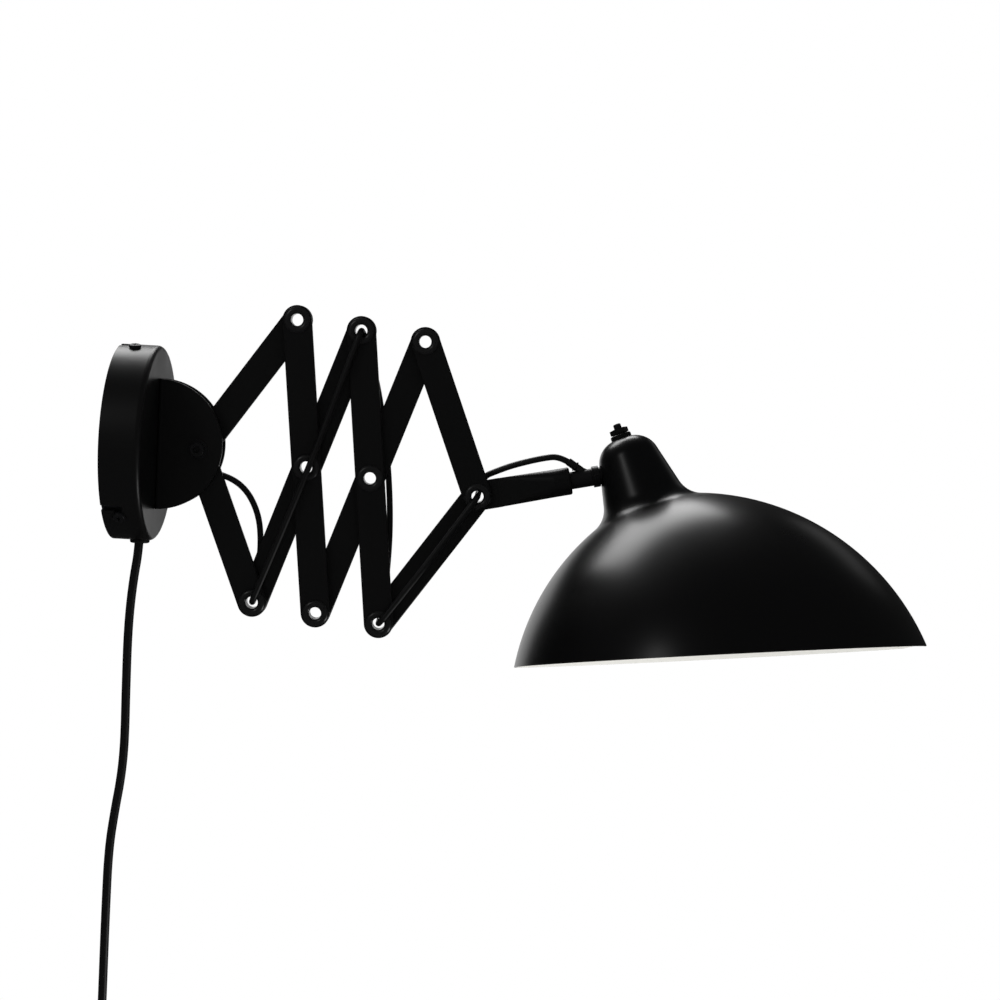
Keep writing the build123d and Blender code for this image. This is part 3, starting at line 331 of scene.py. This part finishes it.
shadeLook = {
    # the profile, (radius, down) in mm from the top of the neck; its arcs turn in degrees
    "start": (2.5, 0), "cornerStart": (4.21, 0), "coneEnd": (24.628, 36.428),
    "corner": {"centre": (4.21, 14.9), "turn": 76.66, "steps": 14},
    "fillet": {"centre": (41.267, 32.483), "turn": -55.46, "steps": 12},
    "dome": {"centre": (-18.5, 186.6), "turn": 66, "steps": 80},
    "spinSteps": 160, "wall": 1.0, "sharpAngle": 40,
    "rimDown": 143.06, "rimTilt": 16.26,  # where the slanted cut crosses the axis, and how far it leans
    "place": 97.3, "above": 20.9,  # along the rod from the bar's pin, and the top over the rod's axis
    "roll": -11, "lean": -9.8,  # round the rod, and from square to it back towards the arm
    # where the rod comes in, through one side of the neck only
    "hole": {"diameter": 11.6, "length": 30, "before": 20, "segments": 64},
}


def onRod(place):
    # the frame of a place along the rod, from the bar's pin, with X along the rod
    end = Matrix.Translation((pins["end"][0] * mm, 0, pins["end"][1] * mm))
    return end @ Matrix.Rotation(radians(-barSlope), 4, "Y") @ Matrix.Translation((place * mm, 0, 0))


def meshObject(name, shape, *coats):
    mesh = bpy.data.meshes.new(name)
    shape.to_mesh(mesh)
    shape.free()
    for coat in coats:
        mesh.materials.append(coat)
    made = bpy.data.objects.new(name, mesh)
    bpy.context.scene.collection.objects.link(made)
    return made


def profilePoint(shape, place):
    return shape.verts.new((place[0] * mm, 0, -place[1] * mm))


def arcOn(shape, vertex, arc):
    # carries the profile on from its last point
    swung = bmesh.ops.spin(shape, geom=[vertex], cent=(arc["centre"][0] * mm, 0, -arc["centre"][1] * mm),
                           axis=(0, 1, 0), angle=radians(arc["turn"]), steps=arc["steps"])
    return [g for g in swung["geom_last"] if isinstance(g, bmesh.types.BMVert)][0]


def cutHole(made, hole, place):
    # a temporary drill, cut out of the piece's own mesh
    drill = bmesh.new()
    radius = hole["diameter"] / 2 * mm
    bmesh.ops.create_cone(drill, segments=hole["segments"], radius1=radius, radius2=radius,
                          depth=hole["length"] * mm, cap_ends=True)
    bmesh.ops.transform(drill, verts=drill.verts, matrix=place)
    tool = meshObject("drill", drill)
    drillMesh = tool.data
    cut = made.modifiers.new("hole", "BOOLEAN")
    cut.object = tool
    cut.solver = "EXACT"
    whole = bpy.data.meshes.new_from_object(made.evaluated_get(bpy.context.evaluated_depsgraph_get()))
    made.modifiers.clear()
    made.data = whole
    bpy.data.objects.remove(tool)
    bpy.data.meshes.remove(drillMesh)


def makeShade(look):
    shape = bmesh.new()
    start = profilePoint(shape, look["start"])
    corner = profilePoint(shape, look["cornerStart"])
    shape.edges.new((start, corner))
    last = arcOn(shape, corner, look["corner"])
    coneEnd = profilePoint(shape, look["coneEnd"])
    shape.edges.new((last, coneEnd))
    last = arcOn(shape, coneEnd, look["fillet"])
    arcOn(shape, last, look["dome"])
    bmesh.ops.spin(shape, geom=shape.verts[:] + shape.edges[:], cent=(0, 0, 0), axis=(0, 0, 1),
                   angle=2 * pi, steps=look["spinSteps"], use_merge=True)
    bmesh.ops.remove_doubles(shape, verts=shape.verts, dist=0.01 * mm)
    bmesh.ops.recalc_face_normals(shape, faces=shape.faces)
    # the wall goes inwards and gets the white enamel
    outside = shape.faces[:]
    bmesh.ops.solidify(shape, geom=outside, thickness=look["wall"] * mm)
    for face in set(shape.faces) - set(outside):
        face.material_index = 1
    # the slanted cut, closed by a rim edge in the outside's coat
    tilt = radians(look["rimTilt"])
    cut = bmesh.ops.bisect_plane(shape, geom=shape.verts[:] + shape.edges[:] + shape.faces[:],
                                 dist=0.0001 * mm, plane_co=(0, 0, -look["rimDown"] * mm),
                                 plane_no=(-sin(tilt), 0, -cos(tilt)), clear_outer=True)
    loops = [g for g in cut["geom_cut"] if isinstance(g, bmesh.types.BMEdge)]
    rim = bmesh.ops.bridge_loops(shape, edges=loops)
    for face in rim["faces"]:
        face.material_index = 0
    turned = Matrix.Rotation(radians(look["roll"]), 4, "X") @ Matrix.Rotation(radians(look["lean"]), 4, "Y")
    top = Matrix.Translation((0, 0, look["above"] * mm))
    bmesh.ops.transform(shape, verts=shape.verts, matrix=onRod(look["place"]) @ turned @ top)
    bmesh.ops.recalc_face_normals(shape, faces=shape.faces)
    made = meshObject("spun_shade", shape, spunCoat, whiteEnamel)
    for face in made.data.polygons:
        face.use_smooth = True
    made.data.set_sharp_from_angle(angle=radians(look["sharpAngle"]))
    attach(made, "head")
    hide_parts("shade")
    hole = look["hole"]
    cutHole(made, hole, onRod(look["place"] - hole["before"]) @ Matrix.Rotation(radians(90), 4, "Y"))


makeShade(shadeLook)
print("shade made")

# floor, light and camera; sizes here are in metres unless they say mm

floorLook = {"half": 1.9, "down": 1.4}  # small enough to stay out of the photo's view
floorShape = bmesh.new()
bmesh.ops.create_grid(floorShape, x_segments=1, y_segments=1, size=floorLook["half"])
bmesh.ops.translate(floorShape, verts=floorShape.verts, vec=(0, 0, -floorLook["down"]))
floor = meshObject("floor", floorShape, newFinish("paleFloor", "#f4f4f2", Roughness=0.9))
floor.visible_glossy = False

# white to the camera and to matt surfaces, but dark in reflections, so that the black coats stay black
worldLook = {"seen": 1.0, "reflected": 0.02}
world = bpy.data.worlds.new("paleStudio")
bpy.context.scene.world = world
world.use_nodes = True
tree = world.node_tree
tree.nodes.clear()
rays = addNode(tree, "ShaderNodeLightPath")
dim = addNode(tree, "ShaderNodeBackground", Color=linear("#ffffff"), Strength=worldLook["reflected"])
bright = addNode(tree, "ShaderNodeBackground", Color=linear("#ffffff"), Strength=worldLook["seen"])
mix = addNode(tree, "ShaderNodeMixShader",
              {0: rays.outputs["Is Glossy Ray"], 1: bright.outputs[0], 2: dim.outputs[0]})
addNode(tree, "ShaderNodeOutputWorld", {"Surface": mix.outputs[0]})

# fitted to the photo: lens, sensor and place in mm, angles in degrees
cameraFit = {
    "lens": 62.5, "sensor": 36, "place": (228.1, -1069.4, 65.6), "pitch": 4.757, "yaw": 0.408, "roll": 3.184,
}


def makeCamera(fit):
    pitch, yaw, roll = (radians(fit[k]) for k in ("pitch", "yaw", "roll"))
    ahead = Vector((sin(yaw) * cos(pitch), cos(yaw) * cos(pitch), -sin(pitch)))
    level = Vector((cos(yaw), -sin(yaw), 0))
    upright = level.cross(ahead)
    right = level * cos(roll) + upright * sin(roll)
    upwards = -level * sin(roll) + upright * cos(roll)
    camera = bpy.data.objects.new("camera", bpy.data.cameras.new("camera"))
    bpy.context.scene.collection.objects.link(camera)
    facing = Matrix((right, upwards, -ahead)).transposed().to_4x4()
    camera.matrix_world = Matrix.Translation(Vector(fit["place"]) * mm) @ facing
    camera.data.lens = fit["lens"]
    camera.data.sensor_width = fit["sensor"]
    camera.data.clip_end = 100
    bpy.context.scene.camera = camera


makeCamera(cameraFit)

# the lights stand by direction from the shade, in degrees: turn is round from straight behind it,
# height is up; bright is the radiance of a light's face
softboxes = {
    "behindLeft": {"turn": -25, "height": 44, "away": 2.0, "size": (1.7, 0.75), "bright": 4.8},
    "backdrop": {"turn": -14, "height": -4, "away": 2.6, "size": (2.0, 1.3), "bright": 0.85},
    "behindRight": {"turn": 34, "height": 24, "away": 2.4, "size": (0.9, 0.5), "bright": 0.2},
    "frontLeft": {"turn": -134, "height": 27, "away": 1.6, "size": (0.2, 0.34), "bright": 3.4},
    "lowRight": {"turn": 100, "height": -42, "away": 1.5, "size": (0.7, 0.5), "bright": 3.0},
}
shadeMiddle = Vector((0.36, 0, -0.03))
for name, box in softboxes.items():
    lamp = bpy.data.objects.new(name, bpy.data.lights.new(name, "AREA"))
    bpy.context.scene.collection.objects.link(lamp)
    lamp.data.shape = "RECTANGLE"
    lamp.data.size, lamp.data.size_y = box["size"]
    lamp.data.energy = box["bright"] * pi * box["size"][0] * box["size"][1]
    turn, height = radians(box["turn"]), radians(box["height"])
    outwards = Vector((sin(turn) * cos(height), cos(turn) * cos(height), sin(height)))
    lamp.location = shadeMiddle + outwards * box["away"]
    lamp.rotation_euler = outwards.to_track_quat("Z", "Y").to_euler()
    lamp.visible_camera = False
bpy.context.scene.view_settings.view_transform = "Standard"  # so that the background comes out white
print("stage, camera and lights set")
